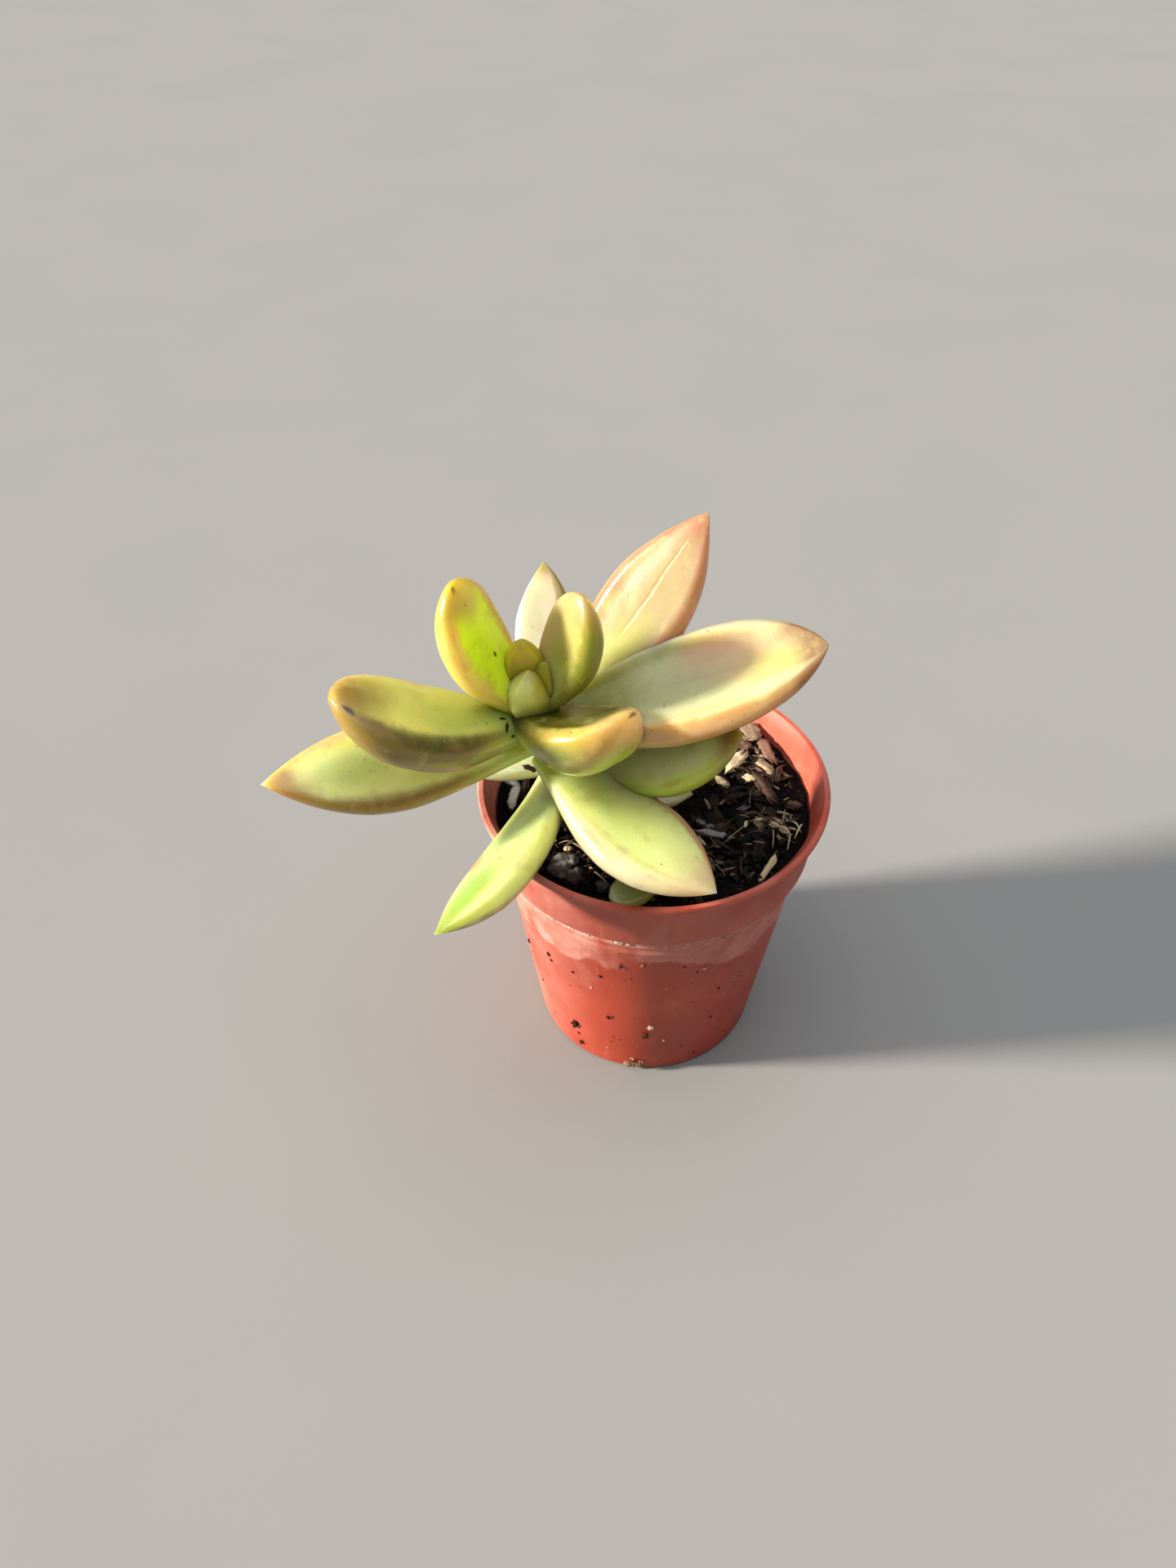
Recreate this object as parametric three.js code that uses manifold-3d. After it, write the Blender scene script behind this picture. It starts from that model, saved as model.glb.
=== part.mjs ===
// A golden sedum in a small flared nursery pot. Millimetres, +Z up.
// The origin is the centre of the pot's base, on the surface that it stands on.
// +X is the plant's right and -Y its front.
import * as THREE from 'three';
import Module from 'manifold-3d';
import { mergeVertices } from 'three/addons/utils/BufferGeometryUtils.js';

const wasm = await Module();
wasm.setup();

// Driving dimensions of the pot
const POT_HEIGHT = 51;
const RIM_RADIUS = 27.5;
const LIP_WIDTH = 1.1;
const LIP_DEPTH = 1;
const COLLAR_TOP_RADIUS = 26.3;
const COLLAR_FOOT_RADIUS = 25.5;
const COLLAR_FOOT_Z = 41.2;
const STEP_DROP = 0.9;
const BODY_TOP_RADIUS = 24.3;
const BASE_RADIUS = 19.1;
const BASE_CORNER = 1.1;
const WALL = 0.9;
const FLOOR = 1.2;
const DRAIN_HOLES = 4;
const DRAIN_RADIUS = 2.2;
const DRAIN_CIRCLE_RADIUS = 12;

// Driving dimensions of the soil and its bark chips
const GAP = 0.3;
const SOIL_TOP_Z = 46.5;
const SOIL_WAVE = 0.45;
const CHIP_COUNT = 34;
const CHIP_SEED = 41;

// Driving dimensions of the stem, which leans to the left and front
const STEM_RADIUS = 2.4;
const STEM_FOOT = new THREE.Vector3(-7, 3, 40);
const STEM_BEND = new THREE.Vector3(-15, -5.25, 56.5);
const STEM_CROWN = new THREE.Vector3(-18, -8.5, 73);

// The axis that the rosette opens round
const ROSETTE_AXIS = new THREE.Vector3(-0.1, -0.45, 0.88).normalize();

// One leaf's outline: where it is widest, how wide its foot is, and how blunt its end
const POINTED = { peak: 0.58, foot: 0.34, taper: 2, round: 1, thickFoot: 0.55 };
const BLUNT = { ...POINTED, peak: 0.6, taper: 2.6, round: 0.7 };
const CLASPING = { ...POINTED, foot: 0.55 };

// The leaves, from the bud outwards. `at` is the height on the stem where a leaf grows,
// `azimuth` and `rise` its direction, `curl` its bend towards its upper side, `roll` its
// turn about its own length and `sway` its sideways bend, all in degrees. `top`, `dish`
// and `keel` are how full, how hollow and how sharp a leaf's section is.
const LEAVES = {
  bud: {
    at: 73, azimuth: 269, rise: 83.5, length: 6.75, width: 7.75, thick: 6.75,
    curl: -4, roll: 165, sway: 0, keel: 0.6,
    outline: { peak: 0.45, foot: 0.84, taper: 1.8, round: 1, thickFoot: 0.8 },
  },
  inner_leaf_back: {
    at: 73, azimuth: 151, rise: 81, length: 11.5, width: 5.5, thick: 4,
    curl: 14, roll: 5, sway: -5, outline: CLASPING,
  },
  inner_leaf_right: {
    at: 73, azimuth: 349, rise: 70, length: 8.5, width: 6.25, thick: 3.5,
    curl: 12, roll: 2, sway: -5, outline: CLASPING,
  },
  leaf_05: {
    at: 71.5, azimuth: 350, rise: 60, length: 22, width: 10.5, thick: 6,
    curl: 21, roll: -5, sway: 8, outline: BLUNT,
  },
  leaf_03: {
    at: 71, azimuth: 185, rise: 54, length: 25.5, width: 12, thick: 6,
    curl: 27, roll: 18, sway: -5, outline: BLUNT,
  },
  leaf_07: {
    at: 71.5, azimuth: 314, rise: -3, length: 18, width: 13.5, thick: 8.75,
    curl: 52, roll: -34, sway: 3,
    outline: { ...BLUNT, peak: 0.55, foot: 0.7, taper: 3, round: 0.5 },
  },
  leaf_02: {
    at: 70, azimuth: 206, rise: 6.5, length: 32.5, width: 15.25, thick: 8.5,
    curl: 43, roll: 15, sway: 0.5, top: 0.4, dish: 0, outline: { ...BLUNT, taper: 2.75 },
  },
  leaf_09: {
    at: 68, azimuth: 355, rise: 22, length: 42, width: 17, thick: 7,
    curl: 4, roll: -11, sway: -1, dish: 0.2,
    outline: { ...POINTED, peak: 0.53, foot: 0.45, taper: 2.9, round: 0.8 },
  },
  leaf_04: {
    at: 68, azimuth: 86, rise: 27, length: 27, width: 8.75, thick: 6,
    curl: 1, roll: -9, sway: 5, outline: POINTED,
  },
  leaf_08: {
    at: 64, azimuth: 35, rise: 43, length: 40, width: 13.5, thick: 6.5,
    curl: 17, roll: 1, sway: -3, outline: POINTED,
  },
  leaf_01: {
    at: 66, azimuth: 198, rise: -1, length: 40, width: 13.25, thick: 6.5,
    curl: 15, roll: -5, sway: -1, outline: POINTED,
  },
  leaf_12: {
    at: 62, azimuth: 307, rise: -14, length: 33.5, width: 14.75, thick: 7,
    curl: 14, roll: -25, sway: 10, outline: { ...POINTED, foot: 0.5 },
  },
  leaf_10: {
    at: 60, azimuth: 350, rise: 6, length: 31, width: 12.75, thick: 7,
    curl: 43, roll: 1, sway: 0, outline: POINTED,
  },
  leaf_06: {
    at: 57.5, azimuth: 167, rise: 6, length: 18.5, width: 8, thick: 5.5,
    curl: 2, roll: 1, sway: 6, outline: POINTED,
  },
  leaf_13: {
    at: 58.5, azimuth: 253, rise: -12, length: 36, width: 10.5, thick: 5.75,
    curl: 27, roll: 34, sway: -6, outline: { ...POINTED, foot: 0.6 },
  },
  leaf_11: {
    at: 54, azimuth: 4, rise: -13, length: 19.5, width: 7.75, thick: 5.5,
    curl: 4, roll: 2, sway: -3, outline: POINTED,
  },
  // A small leaf that lies on the soil at the front, just inside the rim
  ground_leaf: {
    base: new THREE.Vector3(1.25, -19.25, 49.5), azimuth: 206, rise: -2, length: 9.5,
    width: 5, thick: 4.25, curl: 0, roll: 3, sway: 0, outline: BLUNT,
  },
};

const LEAF_RINGS = 12;
const LEAF_SIDES = 14;
const SPINE_STEPS = 48;
const TOP_SHARE = 0.3;
const DISH = 0.12;
const RIM = 0.08;

const MATERIALS = {
  pot: { color: 0xb4553f, roughness: 0.55, metalness: 0 },
  soil: { color: 0x2a211b, roughness: 0.95, metalness: 0 },
  stem: { color: 0x8c8a4a, roughness: 0.7, metalness: 0 },
  leaf: { color: 0xa9b455, roughness: 0.4, metalness: 0 },
};

// Solids and meshes

function toSolid(geometry) {
  const bare = geometry.clone();
  bare.deleteAttribute('normal');
  bare.deleteAttribute('uv');
  const merged = mergeVertices(bare, 1e-4);
  return new wasm.Manifold(new wasm.Mesh({
    numProp: 3,
    vertProperties: new Float32Array(merged.attributes.position.array),
    triVerts: new Uint32Array(merged.index.array),
  }));
}

function toMesh(name, solid, look) {
  const data = solid.getMesh();
  const geometry = new THREE.BufferGeometry();
  geometry.setAttribute('position', new THREE.BufferAttribute(data.vertProperties, 3));
  geometry.setIndex(new THREE.BufferAttribute(data.triVerts, 1));
  geometry.computeVertexNormals();
  const mesh = new THREE.Mesh(geometry, new THREE.MeshStandardMaterial({ ...look }));
  mesh.name = name;
  return mesh;
}

function largestPiece(solid) {
  const pieces = solid.decompose();
  pieces.sort((a, b) => b.volume() - a.volume());
  return pieces[0];
}

function seeded(seed) {
  let state = seed;
  return () => {
    state = (state * 1103515245 + 12345) % 2147483648;
    return state / 2147483648;
  };
}

// A solid of revolution about Z from [radius, height] pairs
function turned(profile, segments) {
  const points = profile.map(([radius, z]) => new THREE.Vector2(radius, z));
  return new THREE.LatheGeometry(points, segments).rotateX(Math.PI / 2);
}

// Pot

const bodyTopZ = COLLAR_FOOT_Z - STEP_DROP;
const lipFootZ = POT_HEIGHT - LIP_DEPTH;

function potSolid() {
  const profile = [
    [0, 0],
    [BASE_RADIUS - BASE_CORNER, 0],
    [BASE_RADIUS - BASE_CORNER / 4, BASE_CORNER / 3],
    [BASE_RADIUS, BASE_CORNER],
    [BODY_TOP_RADIUS, bodyTopZ],
    [COLLAR_FOOT_RADIUS, COLLAR_FOOT_Z],
    [COLLAR_TOP_RADIUS, lipFootZ - 0.8],
    [RIM_RADIUS - 0.2, lipFootZ],
    [RIM_RADIUS, POT_HEIGHT],
    [RIM_RADIUS - LIP_WIDTH, POT_HEIGHT],
    [COLLAR_TOP_RADIUS - WALL, lipFootZ - 0.8],
    [COLLAR_FOOT_RADIUS - WALL, COLLAR_FOOT_Z],
    [BODY_TOP_RADIUS - WALL, bodyTopZ - 0.3],
    [BASE_RADIUS - WALL, FLOOR],
    [0, FLOOR],
  ];
  let pot = toSolid(turned(profile, 72));
  for (let i = 0; i < DRAIN_HOLES; i += 1) {
    const angle = (i + 0.5) * (2 * Math.PI / DRAIN_HOLES);
    const drill = new THREE.CylinderGeometry(DRAIN_RADIUS, DRAIN_RADIUS, 4 * FLOOR, 20);
    drill.rotateX(Math.PI / 2);
    drill.translate(DRAIN_CIRCLE_RADIUS * Math.cos(angle), DRAIN_CIRCLE_RADIUS * Math.sin(angle), 0);
    pot = pot.subtract(toSolid(drill));
  }
  return pot;
}

// Stem

const stemCurve = new THREE.QuadraticBezierCurve3(STEM_FOOT, STEM_BEND, STEM_CROWN);

function stemPoint(z) {
  const t = (z - STEM_FOOT.z) / (STEM_CROWN.z - STEM_FOOT.z);
  return stemCurve.getPoint(THREE.MathUtils.clamp(t, 0, 1));
}

// The leaning stem, with the round growing point at its crown
function stemSolid(extra = 0) {
  const radius = STEM_RADIUS + extra;
  const section = new THREE.Shape();
  section.absarc(0, 0, radius, 0, 2 * Math.PI);
  const shaft = new THREE.ExtrudeGeometry(section, {
    steps: 12,
    curveSegments: 16,
    bevelEnabled: false,
    extrudePath: stemCurve,
  });
  const crown = new THREE.SphereGeometry(radius, 16, 10);
  crown.rotateX(Math.PI / 2);
  crown.translate(STEM_CROWN.x, STEM_CROWN.y, STEM_CROWN.z);
  return toSolid(shaft).add(toSolid(crown));
}

// Soil

function soilHeight(x, y) {
  const edge = 1 - Math.hypot(x, y) / COLLAR_TOP_RADIUS;
  const wave = Math.sin(0.42 * x + 1) + Math.sin(0.51 * y - 0.4) + Math.sin(0.33 * (x - y));
  return SOIL_TOP_Z + SOIL_WAVE * wave * Math.min(1, 3 * edge);
}

function soilSolid() {
  const wallGap = WALL + GAP;
  const rings = [23, 19, 15, 11, 7, 3.5];
  const profile = [
    [0, FLOOR + GAP],
    [BASE_RADIUS - wallGap, FLOOR + GAP],
    [BODY_TOP_RADIUS - wallGap, bodyTopZ - 0.1],
    [COLLAR_FOOT_RADIUS - wallGap, COLLAR_FOOT_Z + 0.3],
    [COLLAR_FOOT_RADIUS - wallGap + 0.4, SOIL_TOP_Z - 0.5],
    ...rings.map((radius) => [radius, SOIL_TOP_Z]),
    [0, SOIL_TOP_Z],
  ];
  const geometry = turned(profile, 36);
  const position = geometry.attributes.position;
  for (let i = 0; i < position.count; i += 1) {
    if (position.getZ(i) > SOIL_TOP_Z - 0.1) {
      position.setZ(i, soilHeight(position.getX(i), position.getY(i)));
    }
  }
  let soil = toSolid(geometry);
  for (const chip of barkChips()) soil = soil.add(toSolid(chip));
  return soil.subtract(stemSolid(GAP));
}

// Flat bark chips, half sunk in the soil and clear of the stem and the wall
function barkChips() {
  const random = seeded(CHIP_SEED);
  const between = (low, high) => low + (high - low) * random();
  const hole = stemPoint(SOIL_TOP_Z);
  const chips = [];
  while (chips.length < CHIP_COUNT) {
    const radius = 21.5 * Math.sqrt(random());
    const angle = between(0, 2 * Math.PI);
    const x = radius * Math.cos(angle);
    const y = radius * Math.sin(angle);
    const chip = new THREE.BoxGeometry(between(2, 5), between(1, 2.2), between(0.9, 1.5));
    chip.rotateX(between(-0.25, 0.25));
    chip.rotateY(between(-0.25, 0.25));
    chip.rotateZ(between(0, Math.PI));
    chip.translate(x, y, soilHeight(x, y));
    if (Math.hypot(x - hole.x, y - hole.y) > STEM_RADIUS + 3.5) chips.push(chip);
  }
  return chips;
}

// Leaves

// The leaf's own directions at its foot: along it, out of its upper side and across it
function leafFrame(leaf) {
  const azimuth = THREE.MathUtils.degToRad(leaf.azimuth);
  const rise = THREE.MathUtils.degToRad(leaf.rise);
  const along = new THREE.Vector3(
    Math.cos(rise) * Math.cos(azimuth),
    Math.cos(rise) * Math.sin(azimuth),
    Math.sin(rise),
  );
  const up = ROSETTE_AXIS.clone().addScaledVector(along, -ROSETTE_AXIS.dot(along)).normalize();
  up.applyAxisAngle(along, THREE.MathUtils.degToRad(leaf.roll));
  return { along, up, across: new THREE.Vector3().crossVectors(up, along) };
}

// Points and directions along the leaf's curved midline, from 0 at its foot to 1 at its tip
function leafSpine(leaf) {
  const start = leafFrame(leaf);
  const curl = THREE.MathUtils.degToRad(leaf.curl);
  const sway = THREE.MathUtils.degToRad(leaf.sway);
  const point = (leaf.base ?? stemPoint(leaf.at)).clone();
  const spine = [];
  for (let i = 0; i <= SPINE_STEPS; i += 1) {
    const s = i / SPINE_STEPS;
    const along = start.along.clone().applyAxisAngle(start.across, -curl * s);
    const up = start.up.clone().applyAxisAngle(start.across, -curl * s);
    along.applyAxisAngle(up, sway * s);
    const across = new THREE.Vector3().crossVectors(up, along);
    if (i > 0) {
      const step = spine[i - 1].along.clone().add(along).multiplyScalar(leaf.length / SPINE_STEPS / 2);
      point.add(step);
    }
    spine.push({ point: point.clone(), along, up, across });
  }
  return spine;
}

function widthShare(s, outline) {
  if (s < outline.peak) {
    const swell = Math.sin(Math.PI / 2 * s / outline.peak) ** 1.6;
    return outline.foot + (1 - outline.foot) * swell;
  }
  return (1 - ((s - outline.peak) / (1 - outline.peak)) ** outline.taper) ** outline.round;
}

function thickShare(s, outline) {
  if (s < 0.5) {
    return outline.thickFoot + (1 - outline.thickFoot) * Math.sin(Math.PI * s);
  }
  return (1 - ((s - 0.5) / 0.5) ** 2.6) ** outline.round;
}

// Height of the leaf's surface over its midline, as a share of its thickness: a hollow
// with a raised rim above, and a curved or keeled back below
function sectionHeight(angle, s, leaf) {
  const side = Math.abs(Math.cos(angle));
  const arch = Math.abs(Math.sin(angle));
  const top = leaf.top ?? TOP_SHARE;
  if (Math.sin(angle) >= 0) {
    const middle = Math.sin(Math.PI * s);
    const hollow = (leaf.dish ?? DISH) * middle ** 0.7 * (1 - side * side) ** 1.5;
    const rim = RIM * middle ** 0.5 * Math.exp(-(((side - 0.78) / 0.13) ** 2));
    return top * arch ** 0.8 - hollow + rim;
  }
  const keel = leaf.keel ?? 0;
  const curved = arch ** 0.95 * (1 - 0.12 * (1 - side));
  return -(1 - top) * ((1 - keel) * curved + keel * (1 - side ** 1.15));
}

// A unit sphere whose poles become the leaf's foot and tip
function leafSolid(leaf, extra = 0) {
  const spine = leafSpine(leaf);
  const geometry = new THREE.SphereGeometry(1, LEAF_SIDES, LEAF_RINGS);
  const position = geometry.attributes.position;
  const grid = geometry.attributes.uv;
  for (let i = 0; i < position.count; i += 1) {
    const row = Math.round((1 - grid.getY(i)) * LEAF_RINGS);
    const turn = Math.floor(grid.getX(i) * LEAF_SIDES + 0.25) % LEAF_SIDES;
    const even = row / LEAF_RINGS;
    const step = Math.round(SPINE_STEPS * (even + (1 - Math.cos(Math.PI * even)) / 2) / 2);
    const s = step / SPINE_STEPS;
    const angle = -2 * Math.PI * turn / LEAF_SIDES;
    const node = spine[step];
    const isPole = row === 0 || row === LEAF_RINGS;
    const half = isPole ? 0 : extra + leaf.width / 2 * widthShare(s, leaf.outline);
    const height = isPole ? 0 : leaf.thick * thickShare(s, leaf.outline);
    const sideways = half * Math.cos(angle);
    const upwards = height * sectionHeight(angle, s, leaf) + (isPole ? 0 : extra * Math.sin(angle));
    const vertex = node.point.clone()
      .addScaledVector(node.across, sideways)
      .addScaledVector(node.up, upwards);
    vertex.addScaledVector(node.along, extra * (2 * s - 1));
    position.setXYZ(i, vertex.x, vertex.y, vertex.z);
  }
  return toSolid(geometry);
}

// Assembly: each leaf is seated on the stem and gives way to the leaves inside it

const part = new THREE.Group();
part.name = 'potted_golden_sedum';

const grownStem = stemSolid(GAP);
const leafSolids = {};
const grownLeaves = [];
for (const [name, leaf] of Object.entries(LEAVES)) {
  let solid = leafSolid(leaf).subtract(grownStem);
  for (const grown of grownLeaves) solid = solid.subtract(grown);
  leafSolids[name] = largestPiece(solid);
  grownLeaves.push(leafSolid(leaf, GAP));
}

let soil = soilSolid();
for (const grown of grownLeaves) soil = soil.subtract(grown);

part.add(toMesh('pot', potSolid(), MATERIALS.pot));
part.add(toMesh('soil', largestPiece(soil), MATERIALS.soil));
part.add(toMesh('stem', stemSolid(), MATERIALS.stem));
for (const [name, solid] of Object.entries(leafSolids)) {
  part.add(toMesh(name, solid, MATERIALS.leaf));
}

export default part;
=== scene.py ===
import random
from math import cos, exp, hypot, pi, radians, sin, sqrt

import bmesh
import bpy
from mathutils import Color, Matrix, Vector, noise


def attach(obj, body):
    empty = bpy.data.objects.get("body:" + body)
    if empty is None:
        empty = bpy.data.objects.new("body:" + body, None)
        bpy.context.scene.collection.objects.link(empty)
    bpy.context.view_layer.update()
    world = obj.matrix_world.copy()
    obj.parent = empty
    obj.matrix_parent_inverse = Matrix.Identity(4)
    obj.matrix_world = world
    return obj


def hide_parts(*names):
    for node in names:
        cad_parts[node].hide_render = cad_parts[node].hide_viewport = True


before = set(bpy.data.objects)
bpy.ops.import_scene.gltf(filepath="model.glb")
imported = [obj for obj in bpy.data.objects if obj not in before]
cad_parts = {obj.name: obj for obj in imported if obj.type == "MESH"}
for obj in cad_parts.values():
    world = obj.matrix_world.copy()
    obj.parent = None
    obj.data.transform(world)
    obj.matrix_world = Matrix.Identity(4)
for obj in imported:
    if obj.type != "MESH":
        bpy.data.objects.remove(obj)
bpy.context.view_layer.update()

# All sizes below are in millimetres and all angles in degrees, as in the part's source
MM = 0.001

# The photograph's camera, solved from the pot's rim and base
CAMERA_PLACE = Vector((-10.2, -136.0, 175.5))
CAMERA_PITCH = 42.7
CAMERA_ROLL = -0.5
CAMERA_LENS = 27.04
CAMERA_SENSOR = 36

# The sun stands low on the left: its angle from the camera's side, and its height
SUN_SIDE = 85
SUN_HEIGHT = 21
SUN_SPREAD = 7
SUN_STRENGTH = 9
SUN_COLOR = (1.0, 0.94, 0.82)

# The sky is bright overhead and falls off to the horizon, and a plain backdrop shows behind
SKY_OVERHEAD = 2.7
SKY_LEVEL = 0.02
SKY_FALL = 4
SKY_COLOR = (0.9, 0.95, 1.0)
BACKDROP = (0.58, 0.57, 0.55)

# The pot, the soil and the stem
POT_HEIGHT = 51
RIM_RADIUS = 27.5
LIP_WIDTH = 1.1
LIP_FOOT = 50
COLLAR_TOP_RADIUS = 26.3
COLLAR_FOOT_RADIUS = 25.5
COLLAR_FOOT = 41.2
BODY_TOP_RADIUS = 24.3
BODY_TOP = 40.3
BASE_RADIUS = 19.1
BASE_CORNER = 1.1
WALL = 0.9
FLOOR = 1.2
POT_SEGMENTS = 192
DRAIN_HOLES = 4
DRAIN_RADIUS = 2.2
DRAIN_CIRCLE_RADIUS = 12
GAP = 0.3
SOIL_TOP = 46.5
SOIL_WAVE = 0.45
SOIL_EDGE_RADIUS = 24.7
SOIL_RINGS = 70
SOIL_SEGMENTS = 160
STEM_RADIUS = 2.4
STEM_FOOT = Vector((-7, 3, 40))
STEM_BEND = Vector((-15, -5.25, 56.5))
STEM_CROWN = Vector((-18, -8.5, 73))
ROSETTE_AXIS = Vector((-0.1, -0.45, 0.88)).normalized()

# A leaf's outline: where it is widest, how wide its foot is, and how blunt its end. A leaf
# is POINTED unless it says otherwise
POINTED = dict(peak=0.58, foot=0.34, taper=2, round=1, thick_foot=0.55)
BLUNT = dict(POINTED, peak=0.6, taper=2.6, round=0.7)
CLASPING = dict(POINTED, foot=0.55)

# The leaves as the solids have them: `at` is the height on the stem, `azimuth` and `rise`
# the direction, `curl`, `roll` and `sway` the bends, `top` the share of the thickness above
# the midline, and `keel` how sharp the back is
LEAVES = {
    "bud": dict(
        at=73, azimuth=269, rise=83.5, length=6.75, width=7.75, thick=6.75, curl=-4, roll=165,
        sway=0, keel=0.6, outline=dict(peak=0.45, foot=0.84, taper=1.8, round=1, thick_foot=0.8),
    ),
    "inner_leaf_back": dict(
        at=73, azimuth=151, rise=81, length=11.5, width=5.5, thick=4, curl=14, roll=5,
        sway=-5, outline=CLASPING,
    ),
    "inner_leaf_right": dict(
        at=73, azimuth=349, rise=70, length=8.5, width=6.25, thick=3.5, curl=12, roll=2,
        sway=-5, outline=CLASPING,
    ),
    "leaf_05": dict(
        at=71.5, azimuth=350, rise=60, length=22, width=10.5, thick=6, curl=21, roll=-5,
        sway=8, outline=BLUNT,
    ),
    "leaf_03": dict(
        at=71, azimuth=185, rise=54, length=25.5, width=12, thick=6, curl=27, roll=18,
        sway=-5, outline=BLUNT,
    ),
    "leaf_07": dict(
        at=71.5, azimuth=314, rise=-3, length=18, width=13.5, thick=8.75, curl=52,
        roll=-34, sway=3, outline=dict(BLUNT, peak=0.55, foot=0.7, taper=3, round=0.5),
    ),
    "leaf_02": dict(
        at=70, azimuth=206, rise=6.5, length=32.5, width=15.25, thick=8.5, curl=43, roll=15,
        sway=0.5, top=0.4, outline=dict(BLUNT, taper=2.75),
    ),
    "leaf_09": dict(
        at=68, azimuth=355, rise=22, length=42, width=17, thick=7, curl=4, roll=-11, sway=-1,
        outline=dict(POINTED, peak=0.53, foot=0.45, taper=2.9, round=0.8),
    ),
    "leaf_04": dict(at=68, azimuth=86, rise=27, length=27, width=8.75, thick=6, curl=1, roll=-9, sway=5),
    "leaf_08": dict(at=64, azimuth=35, rise=43, length=40, width=13.5, thick=6.5, curl=17, roll=1, sway=-3),
    "leaf_01": dict(
        at=66, azimuth=198, rise=-1, length=40, width=13.25, thick=6.5, curl=15, roll=-5, sway=-1,
    ),
    "leaf_12": dict(
        at=62, azimuth=307, rise=-14, length=33.5, width=14.75, thick=7, curl=14,
        roll=-25, sway=10, outline=dict(POINTED, foot=0.5),
    ),
    "leaf_10": dict(at=60, azimuth=350, rise=6, length=31, width=12.75, thick=7, curl=43, roll=1, sway=0),
    "leaf_06": dict(at=57.5, azimuth=167, rise=6, length=18.5, width=8, thick=5.5, curl=2, roll=1, sway=6),
    "leaf_13": dict(
        at=58.5, azimuth=253, rise=-12, length=36, width=10.5, thick=5.75, curl=27,
        roll=34, sway=-6, outline=dict(POINTED, foot=0.6),
    ),
    "leaf_11": dict(
        at=54, azimuth=4, rise=-13, length=19.5, width=7.75, thick=5.5, curl=4, roll=2, sway=-3,
    ),
    "ground_leaf": dict(
        base=Vector((1.25, -19.25, 49.5)), azimuth=206, rise=-2, length=9.5, width=5,
        thick=4.25, curl=0, roll=3, sway=0, outline=BLUNT,
    ),
}
LEAF_ROWS = 72
LEAF_SIDES = 64
SPINE_STEPS = 240
TOP_SHARE = 0.3
DISH = 0.12
RIM = 0.08

# The tones of the leaves, from pale to dark
TONES = {
    "milk": "#d4d8c4",
    "butter": "#dcd89c",
    "pale_lime": "#d6dca4",
    "spring": "#d4da8c",
    "lemon": "#dcda70",
    "maize": "#cfc256",
    "primrose": "#dcc270",
    "neon": "#d6ea2a",
    "lime": "#bccc54",
    "pear": "#c8d87c",
    "meadow": "#bcc06c",
    "apple": "#b8c87c",
    "sage": "#c0bc88",
    "cream": "#beb394",
    "beige": "#bca88a",
    "peach": "#d4b388",
    "apricot": "#dab06e",
    "blush": "#bc8a70",
    "sand": "#b4a074",
    "straw": "#bcaf66",
    "biscuit": "#c09a6c",
    "tan": "#ac9264",
    "mustard": "#c8b424",
    "grass": "#a4b059",
    "ochre": "#ac9a48",
    "brass": "#b0a228",
    "olive": "#9e982c",
    "grey_sage": "#939c7d",
    "leaf_green": "#88a840",
    "fern": "#788a40",
    "moss": "#808618",
    "bronze": "#957d40",
    "copper": "#a27250",
    "salmon": "#aa6253",
    "umber": "#86743c",
    "rust": "#966c28",
    "chestnut": "#855c3a",
    "brown": "#624620",
    # painted shade: the dark tone of leaf sides and bands that lie in shade
    "shade_moss": "#4e4c10",
    "scar": "#451c08",
    "speck": "#1e1e14",
}

# Tones of each leaf, seen from its foot: foot, body, left margin, right margin, tip, underside
LEAF_TONES = {
    "bud": ("grass", "meadow", "mustard", "maize", "maize", "lemon"),
    "inner_leaf_back": ("olive", "mustard", "mustard", "brass", "umber", "ochre"),
    "inner_leaf_right": ("moss", "brass", "olive", "moss", "olive", "olive"),
    "leaf_01": ("pear", "spring", "bronze", "biscuit", "chestnut", "grass"),
    "leaf_02": ("leaf_green", "lemon", "umber", "apricot", "bronze", "umber"),
    "leaf_03": ("lemon", "neon", "primrose", "biscuit", "ochre", "meadow"),
    # leaf_04: the milk left margin is painted light, and the brown right side is painted shade
    "leaf_04": ("straw", "beige", "milk", "brown", "umber", "tan"),
    "leaf_05": ("lime", "straw", "apricot", "moss", "tan", "meadow"),
    # leaf_06: its pale tones are partly painted light
    "leaf_06": ("pale_lime", "pale_lime", "milk", "pale_lime", "butter", "spring"),
    # leaf_07: the dark foot and body are painted shade on its shaded upper side
    "leaf_07": ("shade_moss", "shade_moss", "apricot", "ochre", "apricot", "lime"),
    "leaf_08": ("grass", "sand", "salmon", "blush", "salmon", "copper"),
    # leaf_09: the moss foot is partly its own green and partly painted shade
    "leaf_09": ("moss", "sage", "beige", "biscuit", "chestnut", "bronze"),
    # leaf_10: its pale body is partly painted light
    "leaf_10": ("lime", "pale_lime", "spring", "lime", "bronze", "grass"),
    # leaf_11: its pale tones are partly painted light
    "leaf_11": ("butter", "butter", "butter", "butter", "lemon", "butter"),
    "leaf_12": ("pear", "spring", "biscuit", "cream", "peach", "straw"),
    # leaf_13: the dark underside is painted shade, and the pale foot is partly painted light
    "leaf_13": ("pale_lime", "apple", "spring", "apple", "fern", "shade_moss"),
    "ground_leaf": ("pear", "apple", "pear", "apple", "apple", "pear"),
}

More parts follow.
